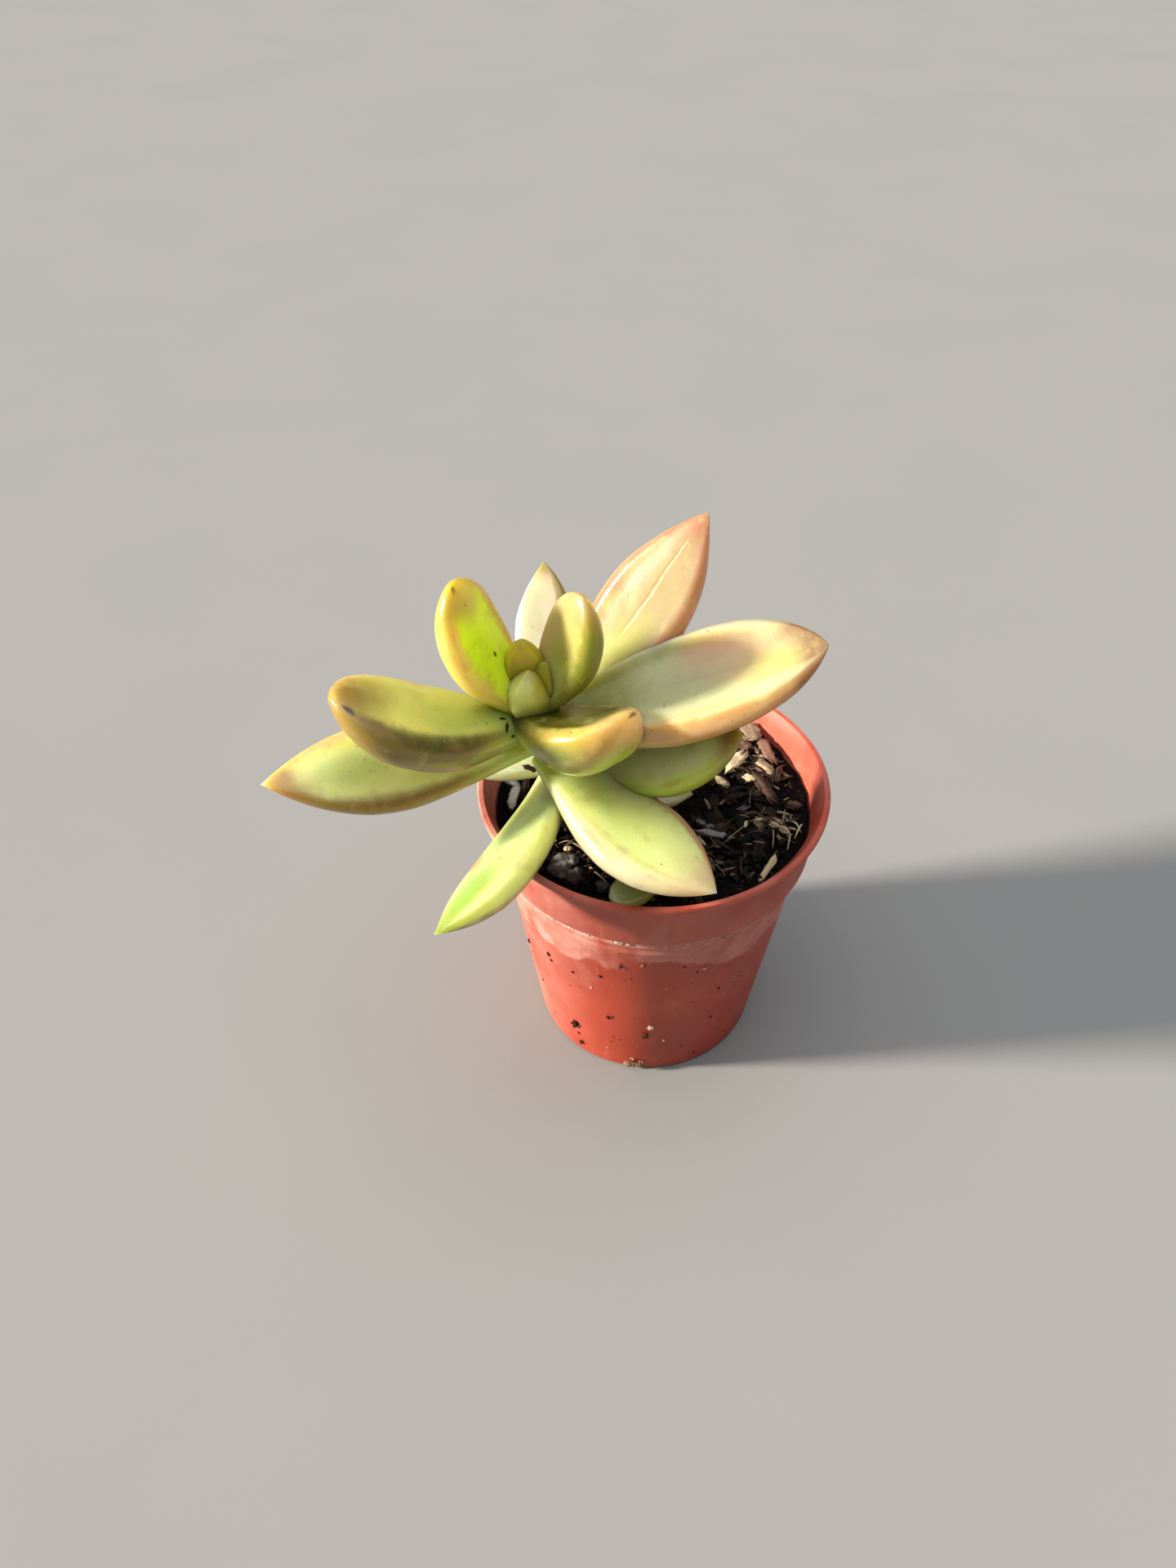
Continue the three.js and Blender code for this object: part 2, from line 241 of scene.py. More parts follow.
# Marks on every leaf, in the order in which they are laid: tone and strength
LEAF_MARKS = {
    "margin_line": ("#b08050", 0.4),
    "stain": ("#a88e46", 0.3),
    "light_patch": ("#dcd488", 0.22),
    "vein": ("#5f6a24", 0.1),
    "bloom": ("#ece8c8", 0.22),
    "freckle": ("#8a6a34", 0.45),
    "speck": ("#3c3a1a", 0.7),
    # painted shade in the crease along the middle
    "shaded_crease": ("#a39a58", 0.5),
}

# How deep the fold along the middle of a leaf is, and how strong the painted shade in it
CREASES = {"leaf_08": 0.5, "leaf_09": 0.4}

# How deep the hollow of a leaf's upper side is and how high its rounded rim stands
RELIEF = {
    "leaf_01": (0.04, 0.04),
    "leaf_02": (0, 0.02),
    "leaf_03": (0.03, 0.05),
    "leaf_04": (0.04, 0.05),
    "leaf_05": (0.01, 0.04),
    "leaf_07": (0.12, 0.03),
    "leaf_08": (0.05, 0.05),
    "leaf_09": (0.18, 0.15),
    "leaf_10": (0.02, 0.04),
    "leaf_12": (0, 0.04),
    "leaf_13": (0, 0.02),
}

# Patches on the leaves: along, turn about the leaf (0 left margin, 90 middle of the upper
# side, 180 right margin), half length, half breadth, tone and strength
PATCHES = {
    "leaf_01": [
        (0.55, 25, 0.35, 0.45, "bronze", 0.7),
        (0.78, 155, 0.25, 0.4, "biscuit", 0.7),
        (0.7, 90, 0.16, 0.45, "leaf_green", 0.3),
    ],
    "leaf_02": [
        (0.96, 40, 0.022, 0.3, "scar", 1),
        (0.86, 100, 0.16, 0.7, "rust", 0.4),
        # leaf_02: the dark band along the lower side is painted shade
        (0.55, 34, 0.42, 0.3, "shade_moss", 0.8),
        (0.4, 75, 0.28, 0.5, "leaf_green", 0.5),
        (0.68, 90, 0.12, 0.6, "ochre", 0.2),
    ],
    "leaf_03": [
        (0.975, 78, 0.02, 0.3, "brown", 0.9),
        (0.5, 90, 0.02, 0.05, "speck", 0.9),
        (0.85, 100, 0.12, 0.8, "straw", 0.5),
        (0.55, 148, 0.4, 0.4, "biscuit", 0.5),
    ],
    "leaf_04": [
        (0.55, 78, 0.2, 0.4, "grey_sage", 0.6),
        (0.35, 66, 0.12, 0.5, "beige", 0.6),
        # leaf_04: the umber band on the right side is painted shade
        (0.75, 150, 0.3, 0.45, "umber", 0.9),
    ],
    "leaf_05": [
        (0.35, 35, 0.3, 0.5, "biscuit", 0.7),
        (0.5, 110, 0.25, 0.5, "leaf_green", 0.3),
    ],
    "leaf_07": [
        (0.985, 25, 0.03, 0.4, "brown", 0.9),
        # leaf_07: the dark patch on the upper side near the foot is painted shade
        (0.35, 90, 0.25, 0.8, "shade_moss", 0.6),
        (0.5, 200, 0.3, 0.5, "fern", 0.7),
    ],
    "leaf_08": [
        (0.4, 57, 0.12, 0.35, "blush", 0.5),
        (0.6, 15, 0.4, 0.4, "blush", 0.7),
        (0.75, 60, 0.15, 0.4, "beige", 0.6),
        (0.3, 100, 0.3, 0.8, "lime", 0.4),
    ],
    "leaf_09": [
        (0.7, 73, 0.22, 0.6, "peach", 0.8),
        (0.82, 102, 0.12, 0.5, "straw", 0.8),
        # leaf_09: the butter band inside the lower right margin is a painted highlight
        (0.84, 128, 0.14, 0.28, "butter", 0.6),
        (0.5, 96, 0.2, 0.5, "grey_sage", 0.3),
        (0.62, 57, 0.12, 0.3, "blush", 0.3),
        # leaf_09: the moss patch at the foot is partly its own green and partly painted shade
        (0.2, 90, 0.22, 1, "moss", 0.6),
    ],
    # leaf_10: the milk patch is painted light and a painted highlight
    "leaf_10": [(0.5, 78, 0.15, 0.4, "milk", 0.4)],
    "leaf_12": [
        (0.7, 25, 0.3, 0.35, "biscuit", 0.8),
        (0.66, 20, 0.34, 0.42, "copper", 0.75),
        (0.86, 140, 0.14, 0.3, "peach", 0.5),
        (0.5, 90, 0.3, 0.5, "lime", 0.3),
    ],
    "leaf_13": [
        (0.59, 135, 0.08, 0.3, "copper", 0.7),
        (0.8, 84, 0.2, 0.7, "leaf_green", 0.8),
    ],
}

# The pot's tones, and the lime on it: a ragged band under the collar that hangs lower at the
# sides and a crust along the collar's foot. A pale layer on the left is painted light
POT_REDS = ("#a8381f", "#bb462b")
# the pale tone of the lime, and of the painted light on the left
POT_LIME_AND_PAINTED_LIGHT = "#d8988a"
POT_CRUST = "#e6c4b4"
POT_SCRATCH = "#e8a58e"
POT_DIRT = "#3a1a12"
LIME_FOOT = (34.5, 35.6)
LIME_TOP = (41.5, 40.5)
LIME_WANDER = 14
LIME_DROP = 4
LIME_SIDES = (4, 14)
# where the painted light on the pot's left side begins and where it is full, along x
PAINTED_LIGHT_SPAN = (-6, -22)
CRUST_HEIGHT = 39.8
CRUST_WIDTH = 1.1

# The tones of the stem, the peat and the floor
STEM_GREENS = ("#7d7a3a", "#a8a060")
STEM_CORK = "#6a5133"
PEAT_BROWNS = ("#030202", "#100a07")
PEAT_CRUMB = "#201610"
FLOOR_GREYS = ("#8d8b89", "#92908d")

# The loose bits' dark, middle and light tone, and how rough they are
BIT_TONES = {
    "bark": ("#090605", "#2e1d15", "#84614f", 0.8),
    "pale_wood": ("#3c2a20", "#7e6650", "#c4ae8a", 0.75),
    "straw": ("#42342a", "#8a745c", "#c6b594", 0.7),
    "grey_bark": ("#25201e", "#5c5350", "#8e8a86", 0.85),
    "dry_skin": ("#5f574e", "#968e84", "#cdc5ba", 0.7),
    "dry_soil": ("#2a140c", "#5a3020", "#9a7860", 0.9),
    "lime": ("#a88474", "#c8a898", "#e0cabc", 0.85),
    "dry_leaf": ("#1c120a", "#4c3420", "#8a6c48", 0.8),
}
PIT_BROWN = "#120c09"

# Larger bits on the soil: x, y, heading, length, width, thickness, lift and tone
PALE_BITS = [
    (14, 7.5, 55, 5.6, 2.1, 0.9, 0.7, 1),
    (11.4, 3, -44, 2.2, 1.3, 0.6, 0.6, 0.9),
    (15.6, 3.4, -46, 2.1, 1.3, 0.7, 0.8, 0.95),
    (17.3, 14.8, -80, 4, 2.3, 0.7, 0.7, 0.55),
    (18.4, 6.8, -58, 4.2, 1.3, 0.9, 0.9, 0.6),
    (19.2, -8.1, -42, 3.4, 1.2, 0.6, 0.9, 0.7),
    (15.7, -7.3, -63, 1.7, 1, 0.5, 0.5, 0.5),
    (16.6, -15.4, 55, 4.8, 1, 0.5, 0.6, 0.9),
    (-13.2, -11.7, 0, 1.3, 1, 0.7, 0.9, 0.8),
]
BROWN_BITS = [
    (19.2, 11, -75, 6.4, 1.9, 0.8, 0.8, 1),
    (18.2, 1.3, -63, 5.6, 1.9, 0.6, 0.8, 0.65),
    (22, -2.4, -19, 2.4, 1.7, 0.7, 0.8, 0.6),
    (15.4, 11.7, -47, 3.2, 1.6, 0.8, 0.8, 0.8),
    (12.6, 10.4, 20, 3.4, 1.2, 0.7, 0.9, 0.7),
    (20.5, 5.2, 70, 3.2, 1.1, 0.5, 0.7, 0.7),
]
GREY_BITS = [
    (9.1, -8.3, -16, 5.5, 1.2, 0.6, 0.6, 0.8),
    (7.4, -5, -29, 1.5, 1.2, 0.8, 0.5, 0.6),
    (8.6, -5.8, 20, 1.3, 1, 0.7, 0.5, 0.5),
    (14, -2.4, 34, 2.7, 0.9, 0.5, 0.5, 0.4),
    (9.6, -14, -18, 1.9, 0.6, 0.4, 0.4, 0.5),
    (-14.2, -14.6, 20, 4.3, 3.2, 2.4, 0.5, 0.8),
    (-12.2, -17.2, 28, 2.8, 2.2, 1.7, 0.4, 0.4),
    (-8.3, -18.8, -22, 1.9, 1.5, 1.2, 0.5, 0.6),
]
PAPERY_SCRAPS = [
    (-22, 0.8, -98, 5.2, 1.5, 0.4, 0.9, 1),
    (-22.4, 3.6, -30, 2.6, 1.3, 0.4, 0.8, 0.8),
]

# Where no chip or crumb lies, about the stem: x, y and radius
CLEARING = (-12, -1, 3.74)

# Heaps of slivers: x, y, reach and how many
SLIVER_HEAPS = [(16.5, 9.5, 3.4, 70), (20, -6.5, 2.4, 45), (-13, -12.5, 2.4, 30), (9, -14, 3, 20)]

# Threads on the soil: x, y, heading, length, radius and tone
NOTABLE_THREADS = [
    (21.1, -5.5, -66, 2.8, 0.16, 0.9),
    (20, -11.5, 69, 4.3, 0.14, 0.8),
    (21.4, -9.2, 60, 3.6, 0.16, 1),
    (17.7, -11.4, 75, 3.8, 0.12, 0.7),
    (-10.4, -14.8, -62, 5.5, 0.14, 0.8),
    (-14.9, -10.2, -16, 3.1, 0.1, 0.7),
    (-12.9, -9.8, -69, 4.4, 0.12, 0.6),
]

# Crumbs on the pot's wall: azimuth, height, size and tone
WALL_CRUMBS = [
    (-129, 9, 1.6, 0.1), (-138, 26.7, 0.8, 0.2), (-103.5, 33, 0.9, 0.4), (-95, 34, 0.8, 0.6),
    (-93, 12, 1.3, 0.3), (-137, 25.3, 0.5, 0), (-125, 26.3, 0.5, 0.1), (-112, 28.6, 0.6, 0.2),
    (-110, 16.3, 0.9, 0.4), (-127, 3.2, 1, 0.2), (-108, 16.7, 0.4, 0), (-61.5, 23, 0.5, 0.3),
    (-61.7, 14, 0.5, 0.3), (-158, 22, 0.8, 0.2), (-128, 6, 0.6, 0.2), (-97, 2.2, 1.6, 0.7),
    (-101, 1.6, 1.3, 0.9), (-94, 2.6, 1.1, 0.8), (-98, 1.2, 1, 0.4),
]
LIME_SPOTS = [(-90.6, 14.7, 1.2, 0.2), (-71, 31.2, 0.7, 0.6), (-99, 3.4, 0.8, 0.6), (-84, 10, 0.4, 0.8)]

# Dry scraps: place, heading, tip, length, width and tone
DRY_FLAKES = [
    ((-21.8, -12.3, 73.6), 30, 20, 1.1, 0.4, 0.1),
    ((-21.2, -13.4, 72.8), 80, -30, 1.4, 0.5, 0.3),
    ((-20.4, -13.5, 71.5), 110, 10, 0.9, 0.4, 0),
    ((-18.9, -5.4, 58.3), -20, 15, 1.8, 0.7, 0.1),
]

# Flakes of lime along the collar's foot: how many, their height, and first, last and densest
# azimuth
CRUST_FLAKES = 130
FLAKE_HEIGHT = 39.9
CRUST_SPAN = (-178, -86, -140)


# Shapes

def direction(azimuth, rise=0):
    """The unit vector with this azimuth and this angle above the level."""
    azimuth, rise = radians(azimuth), radians(rise)
    return Vector((cos(rise) * cos(azimuth), cos(rise) * sin(azimuth), sin(rise)))


def circle(steps, shift=0):
    """Cosine and sine of each of some equal steps about a circle."""
    angles = [2 * pi * (step + shift) / steps for step in range(steps)]
    return [(cos(angle), sin(angle)) for angle in angles]


def stem_point(z):
    """The stem's axis at a height, on its smooth bend from foot to crown."""
    t = min(1, max(0, (z - STEM_FOOT.z) / (STEM_CROWN.z - STEM_FOOT.z)))
    return (1 - t) ** 2 * STEM_FOOT + 2 * t * (1 - t) * STEM_BEND + t * t * STEM_CROWN


def turned(vector, axis, degrees):
    return Matrix.Rotation(radians(degrees), 3, axis) @ vector


def leaf_spine(leaf):
    """Points and directions (along, up, across) on the leaf's curved midline."""
    along0 = direction(leaf["azimuth"], leaf["rise"])
    up0 = (ROSETTE_AXIS - ROSETTE_AXIS.dot(along0) * along0).normalized()
    up0 = turned(up0, along0, leaf["roll"])
    across0 = up0.cross(along0)
    point = leaf["base"].copy() if "base" in leaf else stem_point(leaf["at"])
    spine = []
    for i in range(SPINE_STEPS + 1):
        s = i / SPINE_STEPS
        along = turned(along0, across0, -leaf["curl"] * s)
        up = turned(up0, across0, -leaf["curl"] * s)
        along = turned(along, up, leaf["sway"] * s)
        if spine:
            point = point + (spine[-1][1] + along) * (leaf["length"] / SPINE_STEPS / 2)
        spine.append((point, along, up, up.cross(along)))
    return spine


def width_share(s, outline):
    if s < outline["peak"]:
        swell = sin(pi / 2 * s / outline["peak"]) ** 1.6
        return outline["foot"] + (1 - outline["foot"]) * swell
    past = (s - outline["peak"]) / (1 - outline["peak"])
    return max(0, 1 - past ** outline["taper"]) ** outline["round"]


def thick_share(s, outline):
    if s < 0.5:
        return outline["thick_foot"] + (1 - outline["thick_foot"]) * sin(pi * s)
    return max(0, 1 - ((s - 0.5) / 0.5) ** 2.6) ** outline["round"]


def section_height(u, v, s, leaf):
    """Height over the midline as a share of the thickness: a hollow with a raised rim
    above, and a curved or keeled back below."""
    side = abs(u)
    arch = abs(v)
    top = leaf.get("top", TOP_SHARE)
    if v >= 0:
        middle = max(0, sin(pi * s))
        hollow = leaf["dish"] * middle ** 0.7 * (1 - side * side) ** 1.5
        rim = leaf["rim"] * middle ** 0.5 * exp(-((side - 0.78) / 0.13) ** 2)
        return top * arch ** 0.8 - hollow + rim
    keel = leaf.get("keel", 0)
    curved = arch ** 0.95 * (1 - 0.12 * (1 - side))
    return -(1 - top) * ((1 - keel) * curved + keel * (1 - side ** 1.15))


def soil_height(x, y):
    edge = 1 - hypot(x, y) / COLLAR_TOP_RADIUS
    wave = sin(0.42 * x + 1) + sin(0.51 * y - 0.4) + sin(0.33 * (x - y))
    return SOIL_TOP + SOIL_WAVE * wave * min(1, 3 * edge)


def on_soil(x, y, lift):
    return Vector((x, y, soil_height(x, y) + lift))


# Meshes

def new_object(name, data):
    """An object of the scene that holds a mesh, a lamp or a camera."""
    item = bpy.data.objects.new(name, data)
    bpy.context.scene.collection.objects.link(item)
    return item


def new_mesh(name, vertices, faces):
    """A mesh from vertices in millimetres."""
    mesh = bpy.data.meshes.new(name)
    mesh.from_pydata([Vector(vertex) * MM for vertex in vertices], [], faces)
    return mesh


def new_piece(name, vertices, faces, material, smooth=True):
    """A piece of the visual model."""
    mesh = new_mesh(name, vertices, faces)
    mesh.validate()
    mesh.polygons.foreach_set("use_smooth", [smooth] * len(mesh.polygons))
    mesh.materials.append(material)
    piece = new_object(name, mesh)
    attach(piece, "root")
    return piece


def ring_faces(rings, sides):
    """Quads between rings of vertices that close on themselves."""
    faces = []
    for row in range(rings - 1):
        for side in range(sides):
            a = row * sides + side
            b = row * sides + (side + 1) % sides
            faces.append((a, b, b + sides, a + sides))
    return faces


def flat_ended(rings, sides):
    """Faces of a tube with a flat end at its first and last ring."""
    faces = ring_faces(rings, sides)
    faces.append(tuple(range(sides))[::-1])
    faces.append(tuple(range((rings - 1) * sides, rings * sides)))
    return faces


def pointed(rings, sides):
    """Faces of a tube whose ends close on the two vertices that follow its rings."""
    faces = ring_faces(rings, sides)
    first = rings * sides
    last = first - sides
    for side in range(sides):
        after = (side + 1) % sides
        faces.append((first, after, side))
        faces.append((last + side, last + after, first + 1))
    return faces


def add_floats(piece, name, values):
    attribute = piece.data.attributes.new(name, "FLOAT", "POINT")
    attribute.data.foreach_set("value", values)


def leaf_piece(name, leaf, material):
    """A finely divided leaf that carries its own coordinates for the material."""
    spine = leaf_spine(leaf)
    outline = leaf.get("outline", POINTED)
    seed = len(name) + leaf["azimuth"]
    vertices = []
    places = []
    for row in range(LEAF_ROWS):
        even = row / LEAF_ROWS
        s = 0.35 * even + 0.65 * (1 - cos(pi * even)) / 2
        step = round(SPINE_STEPS * s)
        position, along, up, across = spine[step]
        position = position + along * (s - step / SPINE_STEPS) * leaf["length"]
        half = leaf["width"] / 2 * width_share(s, outline)
        thick = leaf["thick"] * thick_share(s, outline)
        for u, v in circle(LEAF_SIDES):
            wave = noise.noise(Vector((3.1 * s, 1.1 * u, 0.37 * seed)))
            ripple = noise.noise(Vector((9 * s, 2.3 * u, 0.61 * seed + v)))
            swell = 1 + 0.05 * wave + 0.015 * ripple
            height = thick * (section_height(u, v, s, leaf) + 0.05 * wave * v)
            vertices.append(position + across * (half * u * swell) + up * height)
            places.append((s, u, v))
    vertices += [spine[0][0], spine[-1][0]]
    places += [(0, 0, 0), (1, 0, 0)]
    faces = pointed(LEAF_ROWS, LEAF_SIDES)
    piece = new_piece(name + "_fine", vertices, faces, material)
    for key, values in zip(("along", "across", "upper"), zip(*places)):
        add_floats(piece, key, values)
    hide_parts(name)


def lathe(profile, segments):
    """Vertices and faces of a closed profile turned about Z; it starts and ends on the axis."""
    vertices = []
    for radius, z in profile[1:-1]:
        vertices += [(radius * u, radius * v, z) for u, v in circle(segments)]
    vertices.append((0, 0, profile[0][1]))
    vertices.append((0, 0, profile[-1][1]))
    return vertices, pointed(len(profile) - 2, segments)


# Materials

def linear(code):
    """A hex colour as linear red, green, blue and alpha."""
    parts = [int(code[i:i + 2], 16) / 255 for i in (1, 3, 5)]
    return (*Color(parts).from_srgb_to_scene_linear(), 1)


class Nodes:
    """The nodes of a material or of the world, with short helpers."""

    def __init__(self, data, shader):
        self.data = data
        self.data.use_nodes = True
        self.nodes = self.data.node_tree.nodes
        self.links = self.data.node_tree.links
        self.shader = self.nodes[shader]

    def feed(self, socket, value):
        if isinstance(value, bpy.types.NodeSocket):
            self.links.new(value, socket)
        elif isinstance(value, str):
            socket.default_value = linear(value)
        else:
            socket.default_value = value

    def feed_all(self, node, inputs):
        """Gives the inputs of a node their values, colours or textures."""
        for key, value in inputs.items():
            self.feed(node.inputs[key], value)

    def node(self, kind, inputs, **settings):
        """A new node with these settings and inputs."""
        node = self.nodes.new(kind)
        for key, value in settings.items():
            setattr(node, key, value)
        self.feed_all(node, inputs)
        return node

    def math(self, operation, values, clamp=False):
        """One operation carried out along a row of values."""
        result = values[0]
        for value in values[1:]:
            inputs = {0: result, 1: value}
            node = self.node("ShaderNodeMath", inputs, operation=operation, use_clamp=clamp)
            result = node.outputs[0]
        return result

    def add(self, *values, clamp=False):
        return self.math("ADD", values, clamp)

    def less(self, a, b, clamp=False):
        return self.math("SUBTRACT", (a, b), clamp)

    def times(self, *values):
        return self.math("MULTIPLY", values)

    def share(self, a, b):
        return self.math("DIVIDE", (a, b))

    def without_sign(self, value):
        return self.math("ABSOLUTE", (value, 0))

    def distance(self, *values):
        squares = [self.times(value, value) for value in values]
        return self.math("SQRT", (self.add(*squares), 0))

    def parts(self, coordinates):
        """The x, y and z of one kind of texture coordinates."""
        place = self.nodes.new("ShaderNodeTexCoord").outputs[coordinates]
        return self.node("ShaderNodeSeparateXYZ", {0: place}).outputs


class Surface(Nodes):
    """A material. The sizes of its textures are in millimetres."""

    def __init__(self, name):
        super().__init__(bpy.data.materials.new(name), "Principled BSDF")
        self.place = self.nodes.new("ShaderNodeTexCoord").outputs["Object"]

    def mix(self, factor, a, b):
        node = self.node("ShaderNodeMix", {0: factor, 6: a, 7: b}, data_type="RGBA")
        return node.outputs[2]

    def step(self, value, low, high):
        """0 below low and 1 above high, with a smooth rise between; high may be lower."""
        first, last = (0, 1) if low < high else (1, 0)
        inputs = {
            "Value": value,
            "From Min": min(low, high),
            "From Max": max(low, high),
            "To Min": first,
            "To Max": last,
        }
        node = self.node("ShaderNodeMapRange", inputs, interpolation_type="SMOOTHSTEP")
        return node.outputs[0]

    def value(self, name):
        """A number that each vertex carries."""
        return self.node("ShaderNodeAttribute", {}, attribute_name=name).outputs["Fac"]

    def texture(self, kind, size, shift, upright=1, **inputs):
        """A texture node whose pattern is `size` millimetres wide."""
        scale = [part / (MM * size) for part in (1, 1, upright)]
        place = {"Vector": self.place, "Location": shift, "Scale": scale}
        mapping = self.node("ShaderNodeMapping", place)
        return self.node(kind, {"Vector": mapping.outputs[0], "Scale": 1, **inputs})

    def noise(self, size, detail=3, rough=0.5, shift=0.0, upright=1):
        """Noise from 0 to 1; `upright` below 1 draws it out in height."""
        place = (shift, 0.7 * shift, -0.4 * shift)
        inputs = {"Detail": detail, "Roughness": rough}
        return self.texture("ShaderNodeTexNoise", size, place, upright, **inputs).outputs[0]

    def cells(self, size, shift=0.0):
        """Distance to the nearest of scattered points, as a share of their spacing."""
        return self.texture("ShaderNodeTexVoronoi", size, [shift] * 3).outputs["Distance"]

    def bump(self, height, strength, depth):
        """Bump from a 0 to 1 height that is `depth` millimetres deep."""
        inputs = {"Strength": strength, "Distance": MM * depth, "Height": height}
        node = self.node("ShaderNodeBump", inputs)
        self.feed(self.shader.inputs["Normal"], node.outputs[0])


def patch_cover(s, spot, drift, along, turn, length, breadth):
    """How much of a soft-edged patch covers each spot on a leaf."""
    side = radians(turn)
    away = s.distance(
        s.share(s.less(spot["along"], along), length),
        s.share(s.less(spot["across"], cos(side)), breadth),
        s.share(s.less(spot["upper"], sin(side)), breadth),
    )
    return s.step(s.add(away, s.times(drift, 0.6)), 1.2, 0.4)


def leaf_surface(name, seed):
    """Waxy flesh: green body, blushed margins and tip, patches, pale bloom and fine specks."""
    foot, body, left, right, tip, under = [TONES[tone] for tone in LEAF_TONES[name]]
    s = Surface(name + "_flesh")
    spot = {key: s.value(key) for key in ("along", "across", "upper")}
    along, across, upper = spot.values()
    drift = s.less(s.noise(8, 3, 0.55, seed), 0.5)
    fine = s.noise(2.2, 4, 0.6, seed + 5)
    blotch = s.noise(3.4, 5, 0.65, seed + 7)

    # The leaf's tones, with margins and ends that wander; some tones and patches are painted light, and
    # some painted shade
    upper_side = s.step(upper, -0.35, 0.1)
    grown = s.step(along, 0.08, 0.45)
    way = s.add(along, s.times(drift, 0.3))
    side = s.add(across, s.times(s.add(drift, s.less(fine, 0.5)), 0.5))
    shade = s.mix(s.step(way, 0.05, 0.4), foot, body)
    shade = s.mix(s.less(1, upper_side), shade, under)
    shade = s.mix(s.times(s.step(side, 0.55, 0.95), grown), shade, left)
    shade = s.mix(s.times(s.step(side, -0.55, -0.95), grown), shade, right)
    shade = s.mix(s.step(way, 0.78, 1), shade, tip)
    for *patch, tone, strength in PATCHES.get(name, []):
        cover = patch_cover(s, spot, drift, *patch)
        shade = s.mix(s.times(cover, strength), shade, TONES[tone])

    # Marks that every leaf has; the mark in the crease is painted shade
    edge = s.without_sign(s.add(across, s.times(drift, 0.15)))
    broken = s.step(s.noise(6, 3, 0.5, seed + 2), 0.42, 0.6)
    middle = s.without_sign(s.add(across, s.times(drift, 0.25)))
    fold = s.times(s.step(middle, 0.07, 0), s.step(along, 0.42, 0.55), s.step(along, 0.92, 0.84))
    bloom_area = s.step(s.noise(5, 2, 0.5, seed + 9), 0.5, 0.66)
    covers = {
        "margin_line": s.times(s.step(edge, 0.8, 0.87), s.step(edge, 0.96, 0.89), broken, grown),
        "stain": s.step(blotch, 0.5, 0.72),
        "light_patch": s.step(blotch, 0.46, 0.3),
        "vein": s.step(s.noise(1.6, 3, 0.6, seed + 11), 0.55, 0.8),
        "bloom": s.times(s.step(s.cells(0.55, seed), 0.22, 0.1), bloom_area),
        "freckle": s.times(s.step(s.cells(1.3, seed + 13), 0.2, 0.08), s.step(blotch, 0.48, 0.62)),
        "speck": s.step(s.cells(4.5, seed + 3), 0.045, 0.025),
        # painted shade along the fold of the upper side, as deep as the fold
        "shaded_crease": s.times(fold, upper_side, CREASES.get(name, 0)),
    }
    for mark, (tone, strength) in LEAF_MARKS.items():
        shade = s.mix(s.times(covers[mark], strength), shade, tone)

    s.feed_all(s.shader, {
        "Base Color": shade,
        "Roughness": s.add(0.22, s.times(fine, 0.2)),
        "Subsurface Weight": 1,
        "Subsurface Radius": (1.0, 0.9, 0.3),
        "Subsurface Scale": 8 * MM,
        "IOR": 1.45,
        "Coat Weight": 0.35,
        "Coat Roughness": 0.16,
    })
    swell = s.add(s.times(s.noise(0.45, 4, 0.6, seed), 0.35), s.noise(4, 2, 0.5, seed))
    s.bump(s.less(swell, s.times(covers["shaded_crease"], 0.8)), 0.35, 0.35)
    return s.data


def stem_surface():
    """Green-brown skin with long streaks and corky spots."""
    s = Surface("stem_skin")
    streak = s.noise(2.5, 5, 0.6, 3, 0.3)
    shade = s.mix(s.step(streak, 0.35, 0.65), *STEM_GREENS)
    s.feed_all(s.shader, {
        "Base Color": s.mix(s.step(s.noise(1.2, 4, 0.6, 8), 0.55, 0.75), shade, STEM_CORK),
        "Roughness": 0.6,
        "Subsurface Weight": 0.15,
        "Subsurface Scale": 1.5 * MM,
    })
    s.bump(streak, 0.5, 0.3)
    return s.data


